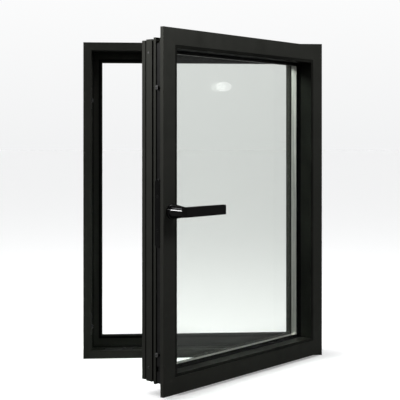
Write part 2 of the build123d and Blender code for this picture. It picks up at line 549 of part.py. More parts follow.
# ---------------------------------------------------------------- hinges
# A pivot hinge is hidden in each hinge-side corner. Its arm is screwed to the frame's floor
# and carries a pin, which turns in a knuckle on a leaf screwed to the sash's hardware face.
leaf_x = SASH_WIDTH / 2 - FLANGE_OVERHANG
flange_back_y = FLANGE_THICKNESS - SASH_PROUD
plate_x = FLOOR_X - KNUCKLE_GAP
arm_y = HINGE_Y + ARM_NECK - KNUCKLE_GAP
hinge_arms, hinge_pins, arm_screws = [], [], []
hinge_leaves, clamp_plates, leaf_screws = [], [], []
pockets = []
for side, sz in (("bottom", -1), ("top", 1)):
    z_arm = sz * FLOOR_Z
    z_face = z_arm - sz * ARM_THICKNESS
    z_knuckle = z_face - sz * KNUCKLE_GAP
    z_knuckle_end = z_knuckle - sz * KNUCKLE_HEIGHT
    # frame side: arm, pin and two screws into the floor
    plate = block(plate_x - ARM_REACH, plate_x, arm_y, ARM_BACK, z_arm, z_face)
    bridge = block(FLOOR_X - ARM_NECK - 1, HINGE_X + ARM_NECK, arm_y, -KNUCKLE_GAP, z_arm, z_face)
    neck = block(HINGE_X - ARM_NECK, HINGE_X + ARM_NECK, HINGE_Y, -KNUCKLE_GAP, z_arm, z_face)
    eye = rod(HINGE_X, HINGE_Y, z_arm, "z", ARM_NECK, -sz * ARM_THICKNESS)
    pin_length = ARM_THICKNESS + KNUCKLE_GAP + KNUCKLE_HEIGHT - 1
    pin = rod(HINGE_X, HINGE_Y, z_arm, "z", PIN_RADIUS, -sz * pin_length)
    arm = plate + bridge + neck + eye - pin
    for y_screw in ARM_SCREWS:
        x_screw = plate_x - ARM_REACH / 2
        shank = rod(x_screw, y_screw, z_face, "z", SCREW_RADIUS, sz * ARM_SCREW_LENGTH)
        head = rod(x_screw, y_screw, z_face, "z", HEAD_RADIUS, sz * HEAD_HEIGHT)
        screw = shank + head
        arm -= screw
        arm_screws.append(screw)
        frame_inner[side] -= screw
    hinge_arms.append(arm)
    hinge_pins.append(pin)
    # sash side: knuckle, link and leaf, with clamp plates in the groove
    knuckle = rod(HINGE_X, HINGE_Y, z_knuckle, "z", KNUCKLE_RADIUS, -sz * KNUCKLE_HEIGHT)
    bore = rod(HINGE_X, HINGE_Y, z_knuckle, "z", PIN_RADIUS + PIN_RUNNING, -sz * KNUCKLE_HEIGHT)
    link = block(leaf_x, HINGE_X, flange_back_y + FIT_GAP, HINGE_Y + KNUCKLE_RADIUS,
                 z_knuckle, z_knuckle_end)
    leaf = block(leaf_x, leaf_x + LEAF_THICKNESS, flange_back_y + FIT_GAP, GROOVE_Y + GROOVE_WIDTH / 2,
                 z_knuckle, z_knuckle - sz * LEAF_HEIGHT)
    leaf = knuckle + link + leaf - bore
    z_clamp_end = z_knuckle - sz * (LEAF_HEIGHT - 4)
    clamp = block(leaf_x - GROOVE_LIP, leaf_x - GROOVE_LIP - CLAMP_THICKNESS,
                  GROOVE_Y - GROOVE_PIECE, GROOVE_Y + GROOVE_PIECE,
                  sz * (SASH_HEIGHT / 2 - LIP_BACK - CLAMP_END), z_clamp_end)
    for along in LEAF_SCREWS:
        z_screw = z_knuckle - sz * along
        head_x = leaf_x + LEAF_THICKNESS
        shank = rod(head_x, GROOVE_Y, z_screw, "x", SCREW_RADIUS,
                    -LEAF_THICKNESS - GROOVE_LIP - CLAMP_THICKNESS)
        head = rod(head_x, GROOVE_Y, z_screw, "x", HEAD_RADIUS, -HEAD_HEIGHT)
        screw = shank + head
        leaf -= screw
        clamp -= screw
        leaf_screws.append(screw)
    hinge_leaves.append(leaf)
    clamp_plates.append(clamp)
    # pocket in the flange for the knuckle and the arm, open behind and at the edge
    pockets.append(block(HINGE_X - HINGE_IN - KNUCKLE_GAP, SASH_WIDTH / 2 + 1,
                         HINGE_Y - KNUCKLE_RADIUS - SLIDE_GAP, 0,
                         z_arm + sz * 1.5, z_knuckle_end - sz))
for pocket in pockets:
    sash_inner = cut(sash_inner, pocket)
    overlap_seals = cut(overlap_seals, pocket)

# ---------------------------------------------------------------- handle and gear
handle_x = LOCK_X + FLANGE_OVERHANG + HANDLE_BACKSET
face_y = -SASH_PROUD
spindle_hole = SPINDLE * math.sqrt(2) / 2 + 0.25
GEAR_FROM = GROOVE_Y - GROOVE_WIDTH / 2 + GEAR_FIT
GEAR_TO = GROOVE_Y + GROOVE_WIDTH / 2 - GEAR_FIT
PINION_FROM = GROOVE_Y - PINION_THICKNESS / 2
PINION_TO = PINION_FROM + PINION_THICKNESS

base_front = face_y - HANDLE_BASE_THICKNESS
handle_base = rod(handle_x, face_y, HANDLE_HEIGHT, "y", HANDLE_BASE_RADIUS, -HANDLE_BASE_THICKNESS)
handle_base = fillet(handle_base.edges().group_by(Axis.Y)[0], LEVER_ROUND)
handle_base -= rod(handle_x, face_y, HANDLE_HEIGHT, "y", spindle_hole, -HANDLE_BASE_THICKNESS)
base_screws = []
for sz in (-1, 1):
    z_screw = HANDLE_HEIGHT + sz * HANDLE_SCREWS
    shank = rod(handle_x, base_front, z_screw, "y", SMALL_SCREW_RADIUS,
                HANDLE_BASE_THICKNESS + HANDLE_SCREW_REACH)
    head = rod(handle_x, base_front, z_screw, "y", SMALL_HEAD_RADIUS, HEAD_HEIGHT)
    base_screws.append(shank + head)
    handle_base -= shank + head
    sash_inner["lock"] -= shank


def lever():
    """Neck and blade in one piece, pointing along +X from the handle's axis."""
    neck_from = base_front - SLIDE_GAP
    blade_front = face_y - LEVER_STANDOFF
    blade_back = blade_front + LEVER_THICKNESS
    skirt = Plane(origin=(0, neck_from, 0), x_dir=(1, 0, 0), z_dir=(0, -1, 0))
    top = Plane(origin=(0, blade_back - 3, 0), x_dir=(1, 0, 0), z_dir=(0, -1, 0))
    neck = loft([skirt * Circle(HANDLE_BASE_RADIUS - 1.0),
                 top * RectangleRounded(LEVER_HEIGHT, LEVER_HEIGHT, 7.0)])
    back = -LEVER_HEIGHT / 2
    outline = [(back, -LEVER_HEIGHT / 2), (0, -LEVER_HEIGHT / 2),
               (LEVER_LENGTH, -LEVER_TIP_HEIGHT / 2), (LEVER_LENGTH, LEVER_TIP_HEIGHT / 2),
               (0, LEVER_HEIGHT / 2), (back, LEVER_HEIGHT / 2)]
    plan = Plane(origin=(0, blade_back, 0), x_dir=(1, 0, 0), z_dir=(0, -1, 0))
    blade = extrude(plan * make_face(Polyline(*outline, close=True)), amount=LEVER_THICKNESS)
    heel = blade.edges().group_by(Axis.X)[0].group_by(Axis.Y)[0]
    blade = chamfer(heel, LEVER_HEEL)
    rim = blade.edges().group_by(Axis.Y)[0] + blade.edges().group_by(Axis.X)[-1]
    blade = fillet(rim, LEVER_ROUND)
    return neck + blade


handle_place = Pos(handle_x, 0, HANDLE_HEIGHT)
spindle_from = face_y - SPINDLE_FRONT
spindle_half = SPINDLE / 2
socket_half = spindle_half + SPINDLE_FIT
spindle = handle_place * block(-spindle_half, spindle_half, spindle_from, GEAR_TO,
                               -spindle_half, spindle_half)
socket = handle_place * block(-socket_half, socket_half, spindle_from, base_front,
                              -socket_half, socket_half)
handle_lever = handle_place * lever() - socket
sash_inner["lock"] -= rod(handle_x, face_y - 1, HANDLE_HEIGHT, "y", spindle_hole,
                          GROOVE[0] + 1)


def involute(base, radius):
    """Polar angle of an involute at a radius."""
    tilt = math.acos(min(1.0, base / radius))
    return math.tan(tilt) - tilt


def pinion():
    """Involute teeth over the arc that meets the rack, and a plain hub elsewhere."""
    pressure = math.radians(20)
    base = PITCH_RADIUS * math.cos(pressure)
    root = PITCH_RADIUS - 1.15 * GEAR_MODULE
    tip = PITCH_RADIUS + 0.95 * GEAR_MODULE
    half_tooth = (math.pi * GEAR_MODULE / 2 - BACKLASH) / 2 / PITCH_RADIUS
    at_base = half_tooth + involute(base, PITCH_RADIUS)
    radii = [base + (tip - base) * step / 5 for step in range(6)]
    flank = [(r, at_base - involute(base, r)) for r in radii]
    gear = Circle(root)
    for tooth in range(PINION_TEETH):
        middle = (tooth + 0.5) * 360 / PINION_TEETH
        if PLAIN_ARC[0] < middle < PLAIN_ARC[1]:
            continue
        points = [(root - 0.5, at_base)] + flank
        edge = [(r * math.cos(a), r * math.sin(a)) for r, a in points]
        mirror_edge = [(x, -y) for x, y in reversed(edge)]
        gear += Rot(0, 0, middle) * make_face(Polyline(*edge, *mirror_edge, close=True))
    plan = Plane(origin=(0, PINION_FROM, 0), x_dir=(1, 0, 0), z_dir=(0, -1, 0))
    teeth = extrude(plan * gear, amount=-PINION_THICKNESS)
    collar = rod(0, GEAR_FROM, 0, "y", COLLAR_RADIUS, GEAR_TO - GEAR_FROM)
    square = block(-socket_half, socket_half, GEAR_FROM, GEAR_TO, -socket_half, socket_half)
    return handle_place * (teeth + collar - square)


# ---------------------------------------------------------------- rods, cams and gearbox
rod_front = LIP_BACK + SLIDE_GAP
rod_back = rod_front + ROD_THICKNESS
ROD_Y = (GROOVE_Y - ROD_WIDTH / 2, GROOVE_Y + ROD_WIDTH / 2)
RACK_PITCH = handle_x + PITCH_RADIUS
RACK_BACK = RACK_PITCH + 2.5
ROD_TOP = CAM_HEIGHTS[0] + ROD_PAST_TOP_CAM
ROD_BOTTOM = CAM_HEIGHTS[1] - ROD_PAST_LOW_CAM


def rack():
    """A rack on the glass side of the pinion, with one tooth at the handle's height."""
    pitch = math.pi * GEAR_MODULE
    slope = math.tan(math.radians(20))
    tip = RACK_PITCH - 0.7 * GEAR_MODULE
    root = RACK_PITCH + 1.2 * GEAR_MODULE
    half = (pitch / 2 - BACKLASH) / 2
    bar = block(root, RACK_BACK, PINION_FROM, PINION_TO,
                HANDLE_HEIGHT - CARRIAGE, HANDLE_HEIGHT + CARRIAGE)
    plan = Plane(origin=(0, PINION_FROM, 0), x_dir=(1, 0, 0), z_dir=(0, -1, 0))
    teeth = []
    count = int((CARRIAGE - 5) / pitch)
    for tooth in range(-count, count + 1):
        z = HANDLE_HEIGHT + tooth * pitch
        inside = root + 0.5
        wide = half + (inside - RACK_PITCH) * slope
        slim = half - (RACK_PITCH - tip) * slope
        outline = [(inside, z - wide), (tip, z - slim), (tip, z + slim), (inside, z + wide)]
        face = plan * make_face(Polyline(*outline, close=True))
        teeth.append(extrude(face, amount=-PINION_THICKNESS))
    return bar + teeth


rods = []
for sz, rod_end in ((-1, ROD_BOTTOM), (1, ROD_TOP)):
    z_out = HANDLE_HEIGHT + sz * CARRIAGE
    z_in = z_out - sz * CARRIAGE_END
    rods.append(block(LOCK_X + rod_front, LOCK_X + rod_back, *ROD_Y, z_in, rod_end))
    rods.append(block(LOCK_X + rod_front, RACK_BACK, PINION_FROM, PINION_TO, z_out, z_in))
drive_rod = rack() + rods
for z_screw in PLATE_SCREWS:
    z_mid = HANDLE_HEIGHT + z_screw
    drive_rod -= block(LOCK_X + rod_front, LOCK_X + rod_back, GROOVE_Y - SLOT_ROOM,
                       GROOVE_Y + SLOT_ROOM, z_mid - SLOT_ROOM, z_mid + SLOT_ROOM + TRAVEL)

CAM_TIP = FLANGE_OVERHANG - CAM_STAND


def cam(x, z, axis, sign):
    """A cam from the rod's face out through the groove's mouth; sign points into the sash."""
    edge = LOCK_X if axis == "x" else -SASH_HEIGHT / 2
    place = {"x": (edge + CAM_TIP, GROOVE_Y, z), "z": (x, GROOVE_Y, edge + CAM_TIP)}[axis]
    head = rod(*place, axis, CAM_RADIUS, sign * CAM_LENGTH)
    shank = rod(*place, axis, CAM_SHANK, sign * (rod_front - CAM_TIP))
    return head + shank


side_cams = [cam(0, z, "x", 1) for z in CAM_HEIGHTS]
bottom_cam = cam(BOTTOM_CAM_X, 0, "z", 1)

# The bottom rod lies in the bottom rail's groove and moves sideways as the side rod drops.
edge_z = -SASH_HEIGHT / 2
leg_x = LOCK_X + FLANGE_OVERHANG + CORNER_LEG
leg_z = edge_z + FLANGE_OVERHANG + CORNER_LEG
bottom_rod_from = leg_x - ROD_INTO_CORNER
bottom_rod = block(bottom_rod_from, BOTTOM_CAM_X + ROD_PAST_BOTTOM_CAM, *ROD_Y,
                   edge_z + rod_front, edge_z + rod_back)

# The corner drive sits in both grooves and is hollow for the rods' ends.
corner_in = GROOVE_FLOOR - FIT_GAP
corner_out = LIP_BACK + CLEAT_GAP
groove_span = (GROOVE_Y - GROOVE_PIECE, GROOVE_Y + GROOVE_PIECE)
upright = block(LOCK_X + corner_out, LOCK_X + corner_in, *groove_span, edge_z + corner_out, leg_z)
flat = block(LOCK_X + corner_out, leg_x, *groove_span, edge_z + corner_out, edge_z + corner_in)
way_gap = SLIDE_GAP / 2
way_span = (ROD_Y[0] - way_gap, ROD_Y[1] + way_gap)
way_up = block(LOCK_X, LOCK_X + rod_back + way_gap, *way_span, ROD_BOTTOM - TRAVEL - 1, leg_z)
way_flat = block(bottom_rod_from - 1, leg_x, *way_span, edge_z, edge_z + rod_back + way_gap)
corner_drive = upright + flat - way_up - way_flat

# The gearbox lies behind the rod in a pocket milled through the stile's groove.
housing_out = LOCK_X + rod_back + SLIDE_GAP
housing_in = handle_x + HOUSING_BEHIND
hardware_x = LOCK_X + FLANGE_OVERHANG
housing = block(housing_out, housing_in, GEAR_FROM, GEAR_TO,
                HANDLE_HEIGHT + HOUSING[0], HANDLE_HEIGHT + HOUSING[1])
housing += block(hardware_x, housing_out, GEAR_FROM, GEAR_TO,
                 HANDLE_HEIGHT - HOUSING_NOSE, HANDLE_HEIGHT + HOUSING_NOSE)
housing -= block(LOCK_X, housing_in - HOUSING_WALL, PINION_FROM - SLIDE_GAP, PINION_TO + SLIDE_GAP,
                 HANDLE_HEIGHT + CAVITY[0], HANDLE_HEIGHT + CAVITY[1])
housing -= rod(handle_x, GEAR_FROM, HANDLE_HEIGHT, "y", COLLAR_RADIUS + PIN_RUNNING,
               GEAR_TO - GEAR_FROM)
sash_inner["lock"] -= block(hardware_x, housing_in + CLEAT_GAP,
                            GROOVE_Y - GROOVE_WIDTH / 2, GROOVE_Y + GROOVE_WIDTH / 2,
                            HANDLE_HEIGHT + HOUSING[0] - KNUCKLE_GAP,
                            HANDLE_HEIGHT + HOUSING[1] + KNUCKLE_GAP)
plate_out = hardware_x - PLATE_THICKNESS
faceplate = block(plate_out, hardware_x, GROOVE_Y - PLATE_WIDTH / 2, GROOVE_Y + PLATE_WIDTH / 2,
                  HANDLE_HEIGHT + PLATE[0], HANDLE_HEIGHT + PLATE[1])
faceplate = chamfer((faceplate.edges() | Axis.Y).group_by(Axis.X)[0], 1.0)
plate_screws = []
for z_screw in PLATE_SCREWS:
    z_mid = HANDLE_HEIGHT + z_screw
    shank = rod(plate_out, GROOVE_Y, z_mid, "x", SCREW_RADIUS, PLATE_SCREW_LENGTH)
    head = rod(plate_out, GROOVE_Y, z_mid, "x", PLATE_HEAD_RADIUS, PLATE_HEAD_HEIGHT)
    screw = shank + head
    plate_screws.append(screw)
    faceplate -= screw
    housing -= screw

# ---------------------------------------------------------------- keeps
# Each keep is a base let into the frame's channel with a striker that the cam drops behind.
BASE_Y = (CHANNEL_FROM, CHANNEL_TO)
STRIKER_TO = GROOVE_Y - CAM_RADIUS - SLIDE_GAP
STRIKER_FROM = STRIKER_TO - STRIKER_WIDTH


def keep_screw(x, z, axis):
    """A countersunk screw from the keep's face into the frame."""
    shank = rod(x, GROOVE_Y, z, axis, SMALL_SCREW_RADIUS, -KEEP_SCREW_LENGTH)
    return shank + rod(x, GROOVE_Y, z, axis, SMALL_HEAD_RADIUS, -KEEP_HEAD_HEIGHT)


keep_bases, strikers, keep_screws = [], [], []
for height in CAM_HEIGHTS:
    middle = height - KEEP_SHIFT
    z0, z1 = middle - KEEP_LENGTH / 2, middle + KEEP_LENGTH / 2
    near = height - CAM_RADIUS - STRIKER_CLEAR
    base = block(-FLOOR_X - CHANNEL_DEPTH, -FLOOR_X, *BASE_Y, z0, z1)
    striker = block(-FLOOR_X, STRIKER_HEIGHT - FLOOR_X, STRIKER_FROM, STRIKER_TO,
                    near - STRIKER_LENGTH, near)
    strikers.append(chamfer((striker.edges() | Axis.Y).group_by(Axis.X)[-1], STRIKER_CHAMFER))
    for z in (z0 + KEEP_SCREW_IN, z1 - KEEP_SCREW_IN):
        screw = keep_screw(-FLOOR_X, z, "x")
        keep_screws.append(screw)
        base -= screw
        frame_inner["lock"] -= screw
    keep_bases.append(base)

# On the sill the cam moves towards the hinge side, so the striker stands on that side.
near = BOTTOM_CAM_X + CAM_RADIUS + STRIKER_CLEAR
sill_base = block(BOTTOM_CAM_X + SILL_KEEP[0], BOTTOM_CAM_X + SILL_KEEP[1], *BASE_Y,
                  -FLOOR_Z - CHANNEL_DEPTH, -FLOOR_Z)
striker = block(near, near + STRIKER_LENGTH, STRIKER_FROM, STRIKER_TO,
                -FLOOR_Z, STRIKER_HEIGHT - FLOOR_Z)
strikers.append(chamfer((striker.edges() | Axis.Y).group_by(Axis.Z)[-1], STRIKER_CHAMFER))
for along in SILL_KEEP_SCREWS:
    screw = keep_screw(BOTTOM_CAM_X + along, -FLOOR_Z, "z")
    keep_screws.append(screw)
    sill_base -= screw
    frame_inner["bottom"] -= screw
keep_bases.append(sill_base)

# ---------------------------------------------------------------- nodes
FRAME_NAMES = {"bottom": "frame_sill", "top": "frame_head", "lock": "frame_jamb_lock",
               "hinge": "frame_jamb_hinge"}
SASH_NAMES = {"bottom": "sash_bottom_rail", "top": "sash_top_rail", "lock": "sash_lock_stile",
              "hinge": "sash_hinge_stile"}
frame_nodes = {
    "frame_thermal_strips": group(frame_strips),
    "frame_corner_cleats": group(frame_cleats),
    "centre_seal_carriers": group(centre_carriers.values()),
    "centre_seals": group(centre_seals.values()),
    "stop_seals": group(stop_seals.values()),
    "drain_caps": group(drain_caps),
    "keep_bases": group(keep_bases),
    "strikers": group(strikers),
    "keep_screws": group(keep_screws),
    "hinge_arms": group(hinge_arms),
    "hinge_pins": group(hinge_pins),
    "hinge_arm_screws": group(arm_screws),
}
sash_nodes = {
    "sash_thermal_strips": group(sash_strips),
    "sash_corner_cleats": group(sash_cleats),
    "corner_pins": group(corner_pins),
    "inner_glazing_gaskets": group(inner_gaskets.values()),
    "outer_glazing_gaskets": group(outer_gaskets.values()),
    "inner_pane": inner_pane,
    "outer_pane": outer_pane,
    "spacer_bars": group(spacers.values()),
    "spacer_corner_keys": group(spacer_keys),
    "edge_sealant": group(edge_sealant.values()),
    "setting_blocks": group(setting_blocks),
    "overlap_seals": group(overlap_seals.values()),
    "hinge_leaves": group(hinge_leaves),
    "hinge_clamp_plates": group(clamp_plates),
    "hinge_leaf_screws": group(leaf_screws),
    "gearbox_housing": housing,
    "gearbox_faceplate": faceplate,
    "faceplate_screws": group(plate_screws),
    "corner_drive": corner_drive,
    "handle_base": handle_base,
    "handle_base_screws": group(base_screws),
    "handle_lever": handle_lever,
    "handle_spindle": spindle,
    "drive_pinion": pinion(),
    "drive_rod": drive_rod,
    "locking_cams": group(side_cams),
    "bottom_rod": bottom_rod,
    "bottom_cam": bottom_cam,
}
for side in SIDES:
    frame_nodes[FRAME_NAMES[side] + "_inner"] = frame_inner[side]
    frame_nodes[FRAME_NAMES[side] + "_outer"] = frame_outer[side]
    sash_nodes[SASH_NAMES[side] + "_inner"] = sash_inner[side]
    sash_nodes[SASH_NAMES[side] + "_outer"] = sash_outer[side]
    sash_nodes["bead_" + side] = beads[side]

to_origin = Pos(0, -FRAME_DEPTH / 2, FRAME_HEIGHT / 2)
swing = Pos(HINGE_X, HINGE_Y, 0) * Rot(0, 0, OPEN_ANGLE) * Pos(-HINGE_X, -HINGE_Y, 0)
os.makedirs("parts", exist_ok=True)
for node, shape in frame_nodes.items():
    export_step(to_origin * shape, f"parts/{node}.step")
for node, shape in sash_nodes.items():
    export_step(to_origin * swing * shape, f"parts/{node}.step")
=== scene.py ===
import math

import bmesh
import bpy
from mathutils import Matrix, Vector


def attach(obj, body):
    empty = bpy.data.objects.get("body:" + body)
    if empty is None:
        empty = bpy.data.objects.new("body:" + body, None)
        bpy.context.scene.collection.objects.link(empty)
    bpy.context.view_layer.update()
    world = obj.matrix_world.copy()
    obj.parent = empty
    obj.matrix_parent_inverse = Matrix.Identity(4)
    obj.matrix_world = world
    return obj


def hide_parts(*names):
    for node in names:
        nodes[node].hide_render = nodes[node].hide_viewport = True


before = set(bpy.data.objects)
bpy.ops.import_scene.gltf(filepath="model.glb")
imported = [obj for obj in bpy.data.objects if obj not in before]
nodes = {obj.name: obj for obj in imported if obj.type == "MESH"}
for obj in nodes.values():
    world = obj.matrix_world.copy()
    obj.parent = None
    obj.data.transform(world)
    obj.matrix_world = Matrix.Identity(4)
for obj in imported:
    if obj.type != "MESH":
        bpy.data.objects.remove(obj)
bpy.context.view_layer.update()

# ------------------------------------------------------------------ frame shells
# Extruded aluminium bars, mitred and crimped at the corners, then powder-coated near-black
# with a fine, even grain. The room-side and outdoor shells are separate profiles.
MM = 0.001
COAT = (0.0072, 0.0076, 0.0064)
COAT_WORN = (0.0096, 0.0100, 0.0087)
COAT_TINT = (1.0, 1.02, 0.9, 1)
COAT_ROUND = 0.35
MERGE_WITHIN = 0.005
FLAT_WITHIN = math.radians(1)
EDGE_FROM = math.radians(40)
CREASE_FROM = math.radians(35)


def shader(name, colour, roughness, **values):
    """A material with one Principled shader, its constants set on its own sockets."""
    material = bpy.data.materials.new(name)
    material.use_nodes = True
    tree = material.node_tree
    surface = tree.nodes["Principled BSDF"]
    surface.inputs["Base Color"].default_value = (*colour, 1)
    surface.inputs["Roughness"].default_value = roughness
    for socket, value in values.items():
        surface.inputs[socket.replace("_", " ")].default_value = value
    return tree, surface, material


def noise(tree, size, stretch=(1, 1, 1), detail=2.0):
    """A noise pattern on object coordinates with features about this many millimetres wide."""
    coords = tree.nodes.new("ShaderNodeTexCoord")
    mapping = tree.nodes.new("ShaderNodeMapping")
    pattern = tree.nodes.new("ShaderNodeTexNoise")
    mapping.inputs["Scale"].default_value = stretch
    pattern.inputs["Scale"].default_value = 1 / (size * MM)
    pattern.inputs["Detail"].default_value = detail
    tree.links.new(coords.outputs["Object"], mapping.inputs["Vector"])
    tree.links.new(mapping.outputs["Vector"], pattern.inputs["Vector"])
    return pattern


def grain(tree, surface, size, depth, stretch=(1, 1, 1)):
    """Raised grain, with its width and depth in millimetres."""
    pattern = noise(tree, size, stretch)
    bump = tree.nodes.new("ShaderNodeBump")
    bump.inputs["Distance"].default_value = depth * MM
    tree.links.new(pattern.outputs["Fac"], bump.inputs["Height"])
    tree.links.new(bump.outputs["Normal"], surface.inputs["Normal"])


def vary_colour(tree, surface, one, other, size, stretch=(1, 1, 1)):
    """Drifts the colour between two values over patches of this many millimetres."""
    pattern = noise(tree, size, stretch, 4.0)
    ramp = tree.nodes.new("ShaderNodeValToRGB")
    ramp.color_ramp.elements[0].position = 0.35
    ramp.color_ramp.elements[1].position = 0.65
    ramp.color_ramp.elements[0].color = (*one, 1)
    ramp.color_ramp.elements[1].color = (*other, 1)
    tree.links.new(pattern.outputs["Fac"], ramp.inputs["Fac"])
    tree.links.new(ramp.outputs["Color"], surface.inputs["Base Color"])


def vary_roughness(tree, surface, low, high, size, stretch=(1, 1, 1)):
    """Drifts the roughness between two values over patches of this many millimetres."""
    pattern = noise(tree, size, stretch, 3.0)
    span = tree.nodes.new("ShaderNodeMapRange")
    span.inputs["From Min"].default_value = 0.3
    span.inputs["From Max"].default_value = 0.7
    span.inputs["To Min"].default_value = low
    span.inputs["To Max"].default_value = high
    tree.links.new(pattern.outputs["Fac"], span.inputs["Value"])
    tree.links.new(span.outputs["Result"], surface.inputs["Roughness"])


def powder_coat():
    """Near-black coating with a fine grain, a little lighter in broad patches."""
    tree, surface, material = shader("powder_coat", COAT, 0.5, Specular_IOR_Level=0.3,
                                     Specular_Tint=COAT_TINT)
    vary_colour(tree, surface, COAT, COAT_WORN, 90)
    vary_roughness(tree, surface, 0.44, 0.56, 25)
    grain(tree, surface, 0.7, 0.02)
    return material


def show(name, bm, material, body, slot, *stands_for):
    """Turns a bmesh into a piece that rides on a body and stands for CAD nodes."""
    bmesh.ops.recalc_face_normals(bm, faces=bm.faces)
    mesh = bpy.data.meshes.new(name)
    bm.to_mesh(mesh)
    bm.free()
    piece = bpy.data.objects.new(name, mesh)
    bpy.context.scene.collection.objects.link(piece)
    mesh.materials.append(material)
    mesh.shade_smooth()
    mesh.set_sharp_from_angle(angle=CREASE_FROM)
    weighted = piece.modifiers.new("even_faces", "WEIGHTED_NORMAL")
    weighted.keep_sharp = True
    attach(piece, body)
    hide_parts(*stands_for)
    return piece


def mitred(face):
    """Whether a face is the 45 degree cut at the end of a mitred bar."""
    return abs(abs(face.normal.z) - math.sqrt(0.5)) < 0.01


def softened(node, edge, material, body, slot, segments=2):
    """A copy of a CAD node with its sharp edges broken by a small round, as after deburring."""
    bm = bmesh.new()
    bm.from_mesh(nodes[node].data)
    bmesh.ops.remove_doubles(bm, verts=bm.verts, dist=MERGE_WITHIN * MM)
    bmesh.ops.dissolve_limit(bm, angle_limit=FLAT_WITHIN, verts=bm.verts, edges=bm.edges)
    sharp = [e for e in bm.edges if len(e.link_faces) == 2 and e.calc_face_angle() > EDGE_FROM
             and not any(map(mitred, e.link_faces))]
    bmesh.ops.bevel(bm, geom=sharp, offset=edge * MM, segments=segments, profile=0.5,
                    affect="EDGES", material=-1, clamp_overlap=True)
    return show(node + "_finished", bm, material, body, slot, node)


coat = powder_coat()
for side in ("sill", "head", "jamb_lock", "jamb_hinge"):
    for shell in ("inner", "outer"):
        softened(f"frame_{side}_{shell}", COAT_ROUND, coat, "frame", "black_powder_coat")

# ------------------------------------------------------------------ thermal break
# Glass-filled polyamide strips rolled into both shells, so that no metal joins indoors to
# outdoors. They show only as dull black bands.


def polyamide():
    """Dull black moulding with a fine grain."""
    tree, surface, material = shader("polyamide", (0.003, 0.003, 0.003), 0.6,
                                     Specular_IOR_Level=0.15)
    vary_colour(tree, surface, (0.002, 0.002, 0.002), (0.005, 0.005, 0.005), 3)
    grain(tree, surface, 0.4, 0.03)
    return material


def repaint(material, *names):
    """Gives CAD nodes whose shape is right their finish."""
    for name in names:
        nodes[name].data.materials.clear()
        nodes[name].data.materials.append(material)


black_nylon = polyamide()
repaint(black_nylon, "frame_thermal_strips", "sash_thermal_strips")

# ------------------------------------------------------------------ corner cleats
# Extruded aluminium corner blocks, left bare, crimped inside the chambers of both rings. The
# clamp plates of the hinges come from the same bare stock.


def mill_aluminium():
    """Bare extruded aluminium with drawn streaks."""
    tree, surface, material = shader("mill_aluminium", (0.45, 0.45, 0.46), 0.4, Metallic=1.0)
    vary_colour(tree, surface, (0.36, 0.36, 0.37), (0.5, 0.5, 0.51), 12, (1, 1, 0.1))
    grain(tree, surface, 0.5, 0.02, (1, 1, 0.05))
    return material


mill = mill_aluminium()
repaint(mill, "frame_corner_cleats", "sash_corner_cleats", "hinge_clamp_plates")

# ------------------------------------------------------------------ centre seal and stop seal
# Extruded rubber, run round the rebate in one length. The centre seal stands on a black carrier
# and the stop seal lies against the outdoor shell.


def rubber():
    """Dull black extruded rubber."""
    tree, surface, material = shader("seal_rubber", (0.001, 0.001, 0.001), 0.6,
                                     Specular_IOR_Level=0.05)
    vary_colour(tree, surface, (0.0008, 0.0008, 0.0008), (0.0018, 0.0018, 0.0018), 14)
    vary_roughness(tree, surface, 0.5, 0.7, 6)
    grain(tree, surface, 0.6, 0.03)
    return material


seal_rubber = rubber()
repaint(coat, "centre_seal_carriers")
repaint(seal_rubber, "centre_seals", "stop_seals")

# ------------------------------------------------------------------ drain caps
# Moulded polyamide hoods clipped into the sill's drain slots on the outdoor side. They shield
# the slots from the wind and are open below.
softened("drain_caps", 0.5, black_nylon, "frame", "black_plastic")

# ------------------------------------------------------------------ keeps
# Die-cast bases let into the frame's channel with hardened steel strikers, each held by two
# screws. The locking cams drop behind the strikers.


def dark_zinc():
    """Die-cast zinc and screws with a dark finish."""
    tree, surface, material = shader("dark_zinc", (0.006, 0.006, 0.006), 0.3,
                                     Specular_IOR_Level=0.3)
    vary_colour(tree, surface, (0.004, 0.004, 0.004), (0.008, 0.008, 0.008), 10)
    grain(tree, surface, 0.9, 0.02)
    return material


def plated_steel():
    """Steel under a dark, uneven plating."""
    tree, surface, material = shader("plated_steel", (0.1, 0.1, 0.1), 0.3, Metallic=1.0)
    vary_colour(tree, surface, (0.07, 0.07, 0.072), (0.14, 0.14, 0.138), 7)
    vary_roughness(tree, surface, 0.22, 0.42, 4)
    return material


zinc = dark_zinc()
steel = plated_steel()
softened("keep_bases", 0.3, zinc, "frame", "dark_zinc")
softened("strikers", 0.4, steel, "frame", "plated_steel")
repaint(zinc, "keep_screws")

# ------------------------------------------------------------------ sash shells
# The sash's own mitred bars: the flange and the hardware groove on the room-side shell, and
# two small steps on the outdoor shell, all coated with the frame.
SASH_ROUND = 0.6
for side in ("bottom_rail", "top_rail", "lock_stile", "hinge_stile"):
    for shell in ("inner", "outer"):
        softened(f"sash_{side}_{shell}", SASH_ROUND, coat, "sash", "black_powder_coat")

# ------------------------------------------------------------------ corner pins
# Dark plated steel pins driven through the sash's outdoor shell into its cleats, one in each
# end of each bar.
softened("corner_pins", 0.4, steel, "sash", "plated_steel")

# ------------------------------------------------------------------ glazing beads
# Square hollow aluminium beads, mitred and clipped in from the room side. Their coat is a little
# smoother than the bars', and its colour is drawn blacker as painted shade for the beads' place
# deep inside the sash.
# Blacker than COAT as painted shade on the beads, which really carry the same coat as the bars.
SHADED_BEAD_COAT = (0.0022, 0.0023, 0.0021)


def shaded_bead_coat():
    """The beads' coating, with a finer grain than the bars', and a colour darkened as painted
    shade.
    """
    tree, surface, material = shader("shaded_bead_coat", SHADED_BEAD_COAT, 0.4, Specular_IOR_Level=0.1,
                                     Specular_Tint=COAT_TINT)
    vary_colour(tree, surface, SHADED_BEAD_COAT, COAT, 90)
    vary_roughness(tree, surface, 0.3, 0.4, 25)
    grain(tree, surface, 0.7, 0.008)
    return material


